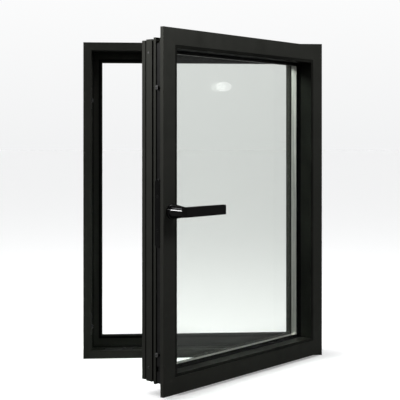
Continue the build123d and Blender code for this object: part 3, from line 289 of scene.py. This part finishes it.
smooth_shaded_coat = shaded_bead_coat()
for side in ("bottom", "top", "lock", "hinge"):
    softened(f"bead_{side}", COAT_ROUND, smooth_shaded_coat, "sash", "black_powder_coat")

# ------------------------------------------------------------------ glass unit
# Two sheets of 6 mm float glass, very faintly green, kept apart by an aluminium spacer with
# black butyl beside it and sealant outside it. The unit stands on plastic setting blocks.

# Millimetres inward of the sash's edge or behind its face.
GLASS_FROM = 37.0
SIGHT_LINE = 46.5
INNER_GLASS, INNER_GAP_FACE, OUTER_GAP_FACE, OUTER_GLASS = 36.0, 42.0, 58.0, 64.0
SPACER_FROM = 40.5
SPACER_BACK = 41.5
SPACER_CLEARANCE = 0.4
SPACER_BEND = 0.3
GROOVE_HALF_WIDTH = 1.0
SASH_HALF_WIDTH, SASH_HALF_HEIGHT = 279.0, 368.0
# From the sash drawn closed about the middle of its face to where it stands, 45 degrees open.
SASH = (Matrix.Translation((0.273, -0.047, 0.375)) @ Matrix.Rotation(math.radians(45), 4, "Z")
        @ Matrix.Translation((-0.273, -0.007, 0)) @ Matrix.Scale(MM, 4))


def float_glass():
    """Clear glass that lets lamps through."""
    tree, surface, material = shader("float_glass", (0.93, 0.95, 0.93), 0.0,
                                     Transmission_Weight=1.0, IOR=1.5)
    output = tree.nodes["Material Output"]
    through = tree.nodes.new("ShaderNodeBsdfTransparent")
    path = tree.nodes.new("ShaderNodeLightPath")
    mix = tree.nodes.new("ShaderNodeMixShader")
    through.inputs["Color"].default_value = (0.9, 0.94, 0.91, 1)
    tree.links.new(path.outputs["Is Shadow Ray"], mix.inputs["Fac"])
    tree.links.new(surface.outputs["BSDF"], mix.inputs[1])
    tree.links.new(through.outputs["BSDF"], mix.inputs[2])
    tree.links.new(mix.outputs["Shader"], output.inputs["Surface"])
    return material


def spacer_aluminium():
    """Rolled aluminium strip with soft upright streaks."""
    tree, surface, material = shader("spacer_aluminium", (0.6, 0.59, 0.57), 0.3, Metallic=1.0)
    vary_colour(tree, surface, (0.42, 0.41, 0.39), (0.75, 0.74, 0.71), 2, (1, 1, 0.01))
    return material


def butyl():
    """Soft black butyl, and the sealant outside the spacer."""
    tree, surface, material = shader("butyl", (0.002, 0.002, 0.002), 0.7,
                                     Specular_IOR_Level=0.1)
    vary_colour(tree, surface, (0.001, 0.001, 0.001), (0.003, 0.003, 0.003), 8)
    return material


def ring(bm, outline):
    """A ring with mitred corners round the sash, from points given as how far they lie inward
    of the sash's edge and behind its face."""
    corners = []
    for across, up in ((-1, -1), (1, -1), (1, 1), (-1, 1)):
        points = [bm.verts.new((across * (SASH_HALF_WIDTH - inward), behind,
                                up * (SASH_HALF_HEIGHT - inward))) for inward, behind in outline]
        corners.append([bm.edges.new((points[i - 1], points[i])) for i in range(len(points))])
    for i in range(len(corners)):
        bmesh.ops.bridge_loops(bm, edges=corners[i - 1] + corners[i])


def sash_rings(name, material, slot, node, *outlines):
    """A piece of the sash made of such rings, in place of a CAD node."""
    bm = bmesh.new()
    for outline in outlines:
        ring(bm, outline)
    bm.transform(SASH)
    show(name, bm, material, "sash", slot, node)


glass = float_glass()
for sheet in ("inner_pane", "outer_pane"):
    softened(sheet, 0.5, glass, "sash", "clear_glass", 1)
near, far = INNER_GAP_FACE + SPACER_CLEARANCE, OUTER_GAP_FACE - SPACER_CLEARANCE
middle = (INNER_GAP_FACE + OUTER_GAP_FACE) / 2
bend = SIGHT_LINE - SPACER_BEND
slant = SPACER_BACK - SPACER_FROM
sash_rings("spacer_frame", spacer_aluminium(), "bare_aluminium", "spacer_bars", [
    (SPACER_FROM, near + slant), (SPACER_BACK, near), (bend, near),
    (SIGHT_LINE, near + SPACER_BEND), (SIGHT_LINE, middle - GROOVE_HALF_WIDTH),
    (bend, middle - GROOVE_HALF_WIDTH + SPACER_BEND),
    (bend, middle + GROOVE_HALF_WIDTH - SPACER_BEND), (SIGHT_LINE, middle + GROOVE_HALF_WIDTH),
    (SIGHT_LINE, far - SPACER_BEND), (bend, far), (SPACER_BACK, far),
    (SPACER_FROM, far - slant)])
# The sealant outside the spacer, then the butyl on its room side, which has crept about a
# millimetre past the spacer's edge, then the butyl on its outdoor side.
sash_rings("butyl_and_sealant", butyl(), "sealant", "edge_sealant",
           [(GLASS_FROM, INNER_GAP_FACE), (SPACER_FROM, INNER_GAP_FACE),
            (SPACER_FROM, OUTER_GAP_FACE), (GLASS_FROM, OUTER_GAP_FACE)],
           [(SPACER_BACK, INNER_GAP_FACE), (SIGHT_LINE + 1.1, INNER_GAP_FACE),
            (SIGHT_LINE + 0.9, INNER_GAP_FACE + 0.6), (SIGHT_LINE + 0.1, INNER_GAP_FACE + 1.2),
            (SIGHT_LINE, near + SPACER_BEND), (bend, near), (SPACER_BACK, near)],
           [(SPACER_BACK, far), (bend, far), (bend + 0.2, OUTER_GAP_FACE),
            (SPACER_BACK, OUTER_GAP_FACE)])
repaint(black_nylon, "spacer_corner_keys", "setting_blocks")

# ------------------------------------------------------------------ glazing gaskets
# Extruded rubber wedges, run round in one length each, that press the glass unit between the
# bead and the outdoor shell. The room-side one has a rounded lip that leans on the glass.
sash_rings("inner_gasket", seal_rubber, "black_rubber", "inner_glazing_gaskets", [
    (35, 31), (40.2, 31), (41.0, 31.3), (41.9, 32.4), (42.7, 33.8), (43.3, 34.8), (43.5, 35.4),
    (43.4, INNER_GLASS), (35, INNER_GLASS)])
sash_rings("outer_gasket", seal_rubber, "black_rubber", "outer_glazing_gaskets", [
    (36, OUTER_GLASS), (42.4, OUTER_GLASS), (42.5, 64.3), (42.3, 65), (41.5, 66), (40.6, 67),
    (40.2, 68), (36, 68)])

# ------------------------------------------------------------------ overlap seal
# Extruded rubber on the back of the sash's flange, which closes on the frame's room-side face.
# It is drawn at the height that it is pressed to.
softened("overlap_seals", 0.4, seal_rubber, "sash", "black_rubber")

# ------------------------------------------------------------------ hidden hinges
# Plated steel arms screwed to the frame's floor carry the pins. Leaves screwed to the sash's
# hardware face, and clamped in its groove, turn on them.
softened("hinge_arms", 0.3, steel, "frame", "plated_steel")
softened("hinge_leaves", 0.3, steel, "sash", "plated_steel")
repaint(steel, "hinge_pins", "hinge_arm_screws", "hinge_leaf_screws")

# ------------------------------------------------------------------ gearbox and faceplate
# A die-cast gearbox let into the lock stile, with a corner drive at the bottom. Its faceplate
# has round ends, lies over the hardware groove, and is held by two six-lobe screws.
GROOVE_MIDDLE = 32.0
PLATE_FACE = 16.4
PLATE_SIZE = (1.6, 15.0, 138.0)
PLATE_HEIGHT = -5.0
SCREWS_APART = 68.0


def handle_lacquer():
    """Glossy black lacquer, the same on the handle and the faceplate."""
    tree, surface, material = shader("handle_lacquer", (0.002, 0.002, 0.002), 0.14,
                                     Specular_IOR_Level=0.35)
    vary_roughness(tree, surface, 0.11, 0.17, 9)
    return material


def turned(bm, place, axis, sections):
    """A round piece from a point, as lengths along an axis with the radius at either end."""
    turn = Vector((0, 0, 1)).rotation_difference(Vector(axis)).to_matrix().to_4x4()
    reach = 0.0
    for length, near, far in sections:
        middle = Matrix.Translation(Vector(place) + Vector(axis) * (reach + length / 2)) @ turn
        bmesh.ops.create_cone(bm, cap_ends=True, segments=36, radius1=near, radius2=far,
                              depth=length, matrix=middle)
        reach += length


def lobed_recess(bm, place, radius, depth, lobe):
    """Sinks a six-lobed recess into the round face centred nearest to a point."""
    face = min((f for f in bm.faces if len(f.verts) > 8),
               key=lambda f: (f.calc_center_median() - Vector(place)).length)
    middle = face.calc_center_median()
    rim = (face.verts[0].co - middle).length
    bmesh.ops.inset_individual(bm, faces=[face], thickness=rim - radius, use_even_offset=True)
    for i, vert in enumerate(face.verts):
        share = 1 - lobe * (1 + math.cos(6 * i * math.tau / len(face.verts))) / 2
        vert.co = middle + (vert.co - middle) * share
    bmesh.ops.inset_individual(bm, faces=[face], thickness=0.05, depth=-depth)


lacquer = handle_lacquer()
plate_x = PLATE_FACE - SASH_HALF_WIDTH
plate = bmesh.new()
bmesh.ops.create_cube(plate, size=1.0, matrix=Matrix.Translation(
    (plate_x + PLATE_SIZE[0] / 2, GROOVE_MIDDLE, PLATE_HEIGHT)) @ Matrix.Diagonal((*PLATE_SIZE, 1)))
corners = [e for e in plate.edges if abs((e.verts[0].co - e.verts[1].co).x) > 1]
bmesh.ops.bevel(plate, geom=corners, offset=7.0, segments=8, profile=0.5, affect="EDGES",
                material=-1)
front = [e for e in plate.edges if all(v.co.x < plate_x + 0.1 for v in e.verts)]
bmesh.ops.bevel(plate, geom=front, offset=0.5, segments=3, profile=0.5, affect="EDGES",
                material=-1)
plate.transform(SASH)
show("gearbox_faceplate_finished", plate, lacquer, "sash", "dark_zinc", "gearbox_faceplate")
screws = bmesh.new()
for height in (PLATE_HEIGHT - SCREWS_APART / 2, PLATE_HEIGHT + SCREWS_APART / 2):
    head = (plate_x, GROOVE_MIDDLE, height)
    turned(screws, head, (1, 0, 0), [(0.2, 3.2, 3.4), (0.6, 3.4, 3.4), (11.2, 2.0, 2.0)])
    lobed_recess(screws, head, 1.7, 0.7, 0.22)
screws.transform(SASH)
show("faceplate_screws_finished", screws, zinc, "sash", "dark_zinc", "faceplate_screws")
repaint(zinc, "gearbox_housing", "corner_drive")

# ------------------------------------------------------------------ rods and cams
# Flat dark rods slide in the hardware groove, and the dark plated steel cams on them reach out
# to the keeps. Each cam has a six-lobe socket for adjusting it.
CAM_FACE = 13.2
TOP_CAM, BOTTOM_CAM, SILL_CAM = 248.0, -290.0, -200.0


def cam_piece(name, node, body, axis, places):
    """Mushroom-headed cams, each with a six-lobe socket."""
    bm = bmesh.new()
    for place in places:
        turned(bm, place, axis, [(0.5, 3.9, 4.4), (3.4, 4.4, 4.4), (0.4, 4.4, 4.0),
                                 (2.8, 3.2, 3.2)])
        lobed_recess(bm, place, 2.1, 2.0, 0.2)
    bm.transform(SASH)
    show(name, bm, steel, body, "plated_steel", node)


cam_piece("side_cams", "locking_cams", "side_bolt", (1, 0, 0),
          [(CAM_FACE - SASH_HALF_WIDTH, GROOVE_MIDDLE, height)
           for height in (TOP_CAM, BOTTOM_CAM)])
cam_piece("sill_cam", "bottom_cam", "bottom_bolt", (0, 0, 1),
          [(SILL_CAM, GROOVE_MIDDLE, CAM_FACE - SASH_HALF_HEIGHT)])
repaint(zinc, "drive_rod", "bottom_rod")

# ------------------------------------------------------------------ handle
# A die-cast lever in glossy black lacquer on a base held by two screws. Its round neck tapers
# away from the base, and its flat blade has a bevelled heel. A steel spindle turns the pinion.
HANDLE_AXIS = -255.5
LEVER_LENGTH, LEVER_HEEL = 117.0, 10.2
BLADE_FRONT, BLADE_THICKNESS = 46.0, 10.0
BLADE_HEIGHT, TIP_HEIGHT = 20.4, 20.0
NECK_FROM = 5.3


def smoothed(node, material, body, slot):
    """A copy of a CAD node with its rounds shaded smooth."""
    bm = bmesh.new()
    bm.from_mesh(nodes[node].data)
    bmesh.ops.remove_doubles(bm, verts=bm.verts, dist=MERGE_WITHIN * MM)
    show(node + "_finished", bm, material, body, slot, node)


def on_rim(vert):
    """Whether a corner of the blade is on its front face or at its tip."""
    return vert.co.y < 1 - BLADE_FRONT or vert.co.x > LEVER_LENGTH - 1


lever = bmesh.new()
turned(lever, (0, -NECK_FROM, 0), (0, -1, 0),
       [(0.8, 14.0, 14.5), (4, 14.5, 14.3), (26, 14.3, 10.2), (3, 10.2, 9.8)])
blade_place = Matrix.Translation(
    ((LEVER_LENGTH - LEVER_HEEL) / 2, BLADE_THICKNESS / 2 - BLADE_FRONT, 0))
blade_size = Matrix.Diagonal((LEVER_LENGTH + LEVER_HEEL, BLADE_THICKNESS, BLADE_HEIGHT, 1))
blade = bmesh.ops.create_cube(lever, size=1.0, matrix=blade_place @ blade_size)["verts"]
for vert in blade:
    if vert.co.x > 0:
        vert.co.z *= TIP_HEIGHT / BLADE_HEIGHT
blade_edges = {e for v in blade for e in v.link_edges}
heel = [e for e in blade_edges if all(v.co.x < 0 and v.co.y < 1 - BLADE_FRONT for v in e.verts)]
bmesh.ops.bevel(lever, geom=heel, offset=5.0, segments=1, profile=0.5, affect="EDGES",
                material=-1)
rims = [e for e in lever.edges if all(map(on_rim, e.verts)) and len(e.link_faces) == 2
        and e.calc_face_angle() > math.radians(60)]
bmesh.ops.bevel(lever, geom=rims, offset=1.0, segments=3, profile=0.5, affect="EDGES",
                material=-1)
lever.transform(SASH @ Matrix.Translation((HANDLE_AXIS, 0, 0)))
show("handle_lever_finished", lever, lacquer, "handle", "black_handle", "handle_lever")
smoothed("handle_base", lacquer, "sash", "black_handle")
repaint(steel, "handle_spindle", "drive_pinion", "handle_base_screws")

# ------------------------------------------------------------------ studio
# A pale floor and room under a broad overhead light. What lights the window is kept dimmer
# than what is seen: least from behind it, and most from the viewer's side and the left.
FLOOR_SIZE = 60.0
FLOOR_PAINT = (0.76, 0.765, 0.77)
FLOOR_BOUNCE = (0.14, 0.14, 0.14)
FLOOR_LIFT = 0.31
PALE = (0.89, 0.895, 0.90)
BRIGHT = (1.0, 1.0, 1.0)
ROOM_BASE, ROOM_FRONT, ROOM_BACK = 0.02, 0.22, 0.06
ROOM_LEFT, ROOM_RIGHT = 0.2, 0.1
OVERHEAD_STRENGTH, OVERHEAD_SPREAD = 2.2, math.radians(50)
OVERHEAD_FROM = (-0.5, 0.3, 1.4)
LAMPS_AIM = (0, -0.3, 0.5)


def ranged(tree, value, from_low, from_high, to_low, to_high):
    """A value mapped from one range to another."""
    node = tree.nodes.new("ShaderNodeMapRange")
    for socket, number in (("From Min", from_low), ("From Max", from_high),
                           ("To Min", to_low), ("To Max", to_high)):
        node.inputs[socket].default_value = number
    tree.links.new(value, node.inputs["Value"])
    return node.outputs["Result"]


def combined(tree, operation, one, other):
    """Two values joined by one operation."""
    node = tree.nodes.new("ShaderNodeMath")
    node.operation = operation
    tree.links.new(one, node.inputs[0])
    tree.links.new(other, node.inputs[1])
    return node.outputs["Value"]


def by_bounce(tree, seen, lighting):
    """One value where the camera sees a thing, straight or through glass, and another where
    the thing only lights others or is mirrored in them."""
    path = tree.nodes.new("ShaderNodeLightPath")
    bounces = combined(tree, "ADD", path.outputs["Diffuse Depth"], path.outputs["Glossy Depth"])
    return ranged(tree, bounces, 0, 1, seen, lighting)


def seen_or_lighting(tree, target):
    """A colour mix: its first colour is what is seen, and its second only lights things."""
    choice = tree.nodes.new("ShaderNodeMix")
    choice.data_type = "RGBA"
    tree.links.new(by_bounce(tree, 0, 1), choice.inputs[0])
    tree.links.new(choice.outputs[2], target)
    return choice


def pale_floor():
    """One plain matt sheet, lifted a little where it is seen, that throws little light back up."""
    tree, surface, material = shader("floor_paint", FLOOR_PAINT, 0.9, Specular_IOR_Level=0.0)
    choice = seen_or_lighting(tree, surface.inputs["Base Color"])
    choice.inputs[6].default_value = (*FLOOR_PAINT, 1)
    choice.inputs[7].default_value = (*FLOOR_BOUNCE, 1)
    surface.inputs["Emission Color"].default_value = (1, 1, 1, 1)
    tree.links.new(by_bounce(tree, FLOOR_LIFT, 0), surface.inputs["Emission Strength"])
    bm = bmesh.new()
    bmesh.ops.create_grid(bm, x_segments=1, y_segments=1, size=FLOOR_SIZE)
    mesh = bpy.data.meshes.new("floor")
    bm.to_mesh(mesh)
    bm.free()
    mesh.materials.append(material)
    sheet = bpy.data.objects.new("floor", mesh)
    bpy.context.scene.collection.objects.link(sheet)


def surround():
    """The room: pale where it is seen, and uneven from side to side where it only lights."""
    world = bpy.data.worlds.new("surround")
    world.use_nodes = True
    tree = world.node_tree
    background = tree.nodes["Background"]
    coords = tree.nodes.new("ShaderNodeTexCoord")
    axes = tree.nodes.new("ShaderNodeSeparateXYZ")
    tree.links.new(coords.outputs["Generated"], axes.inputs["Vector"])
    light = tree.nodes.new("ShaderNodeCombineColor")
    level = ranged(tree, axes.outputs["Y"], -1, -0.4, ROOM_FRONT, ROOM_BASE)
    for axis, from_low, from_high, at_low, at_high in (("Y", 0.7, 1, 0, ROOM_BACK),
                                                       ("X", -1, 0, ROOM_LEFT, 0),
                                                       ("X", 0, 1, 0, ROOM_RIGHT)):
        part = ranged(tree, axes.outputs[axis], from_low, from_high, at_low, at_high)
        level = combined(tree, "ADD", level, part)
    for channel in ("Red", "Green", "Blue"):
        tree.links.new(level, light.inputs[channel])
    height = ranged(tree, axes.outputs["Z"], 0, 0.2, 0, 1)
    seen = tree.nodes.new("ShaderNodeMix")
    seen.data_type = "RGBA"
    seen.inputs[6].default_value = (*PALE, 1)
    seen.inputs[7].default_value = (*BRIGHT, 1)
    tree.links.new(height, seen.inputs[0])
    choice = seen_or_lighting(tree, background.inputs["Color"])
    tree.links.new(seen.outputs[2], choice.inputs[6])
    tree.links.new(light.outputs["Color"], choice.inputs[7])
    bpy.context.scene.world = world


def aim(light, place, target):
    """Puts a light at a place, turned to a target."""
    light.location = place
    light.rotation_euler = (Vector(target) - Vector(place)).to_track_quat("-Z", "Y").to_euler()
    bpy.context.scene.collection.objects.link(light)


pale_floor()
surround()
overhead = bpy.data.lights.new("overhead", "SUN")
overhead.energy = OVERHEAD_STRENGTH
overhead.angle = OVERHEAD_SPREAD
aim(bpy.data.objects.new("overhead", overhead), OVERHEAD_FROM, (0, 0, 0))
# The left lamp lights the lock edge and the handle's neck, the right one the sash's face, and
# the weak one is the small bright spot in the glass. Each has its watts, size and place.
for label, watts, width, height, place in (("left_lamp", 44, 0.8, 0.45, (-2.3, -1.1, 1.45)),
                                           ("right_lamp", 34, 0.7, 0.7, (1.4, -0.9, 1.75)),
                                           ("room_lamp", 0.014, 0.08, 0.05, (3.0, 0.05, 0.8))):
    lamp = bpy.data.lights.new(label, "AREA")
    lamp.shape = "ELLIPSE"
    lamp.size, lamp.size_y = width, height
    lamp.energy = watts
    aim(bpy.data.objects.new(label, lamp), place, LAMPS_AIM)

# ------------------------------------------------------------------ camera
# Level, a little left of the window and above its middle, so that uprights stay upright. The
# view is shifted down instead of tilted.
CAMERA_PLACE = (-0.1926, -2.4204, 0.5137)
CAMERA_TURN = math.radians(-4.41)
CAMERA_LENS = 90
CAMERA_SHIFT = -0.145
camera_data = bpy.data.cameras.new("camera")
camera_data.lens = CAMERA_LENS
camera_data.shift_y = CAMERA_SHIFT
camera = bpy.data.objects.new("camera", camera_data)
camera.location = CAMERA_PLACE
camera.rotation_euler = (math.radians(90), 0, CAMERA_TURN)
bpy.context.scene.collection.objects.link(camera)
bpy.context.scene.camera = camera
bpy.context.scene.view_settings.view_transform = "Standard"
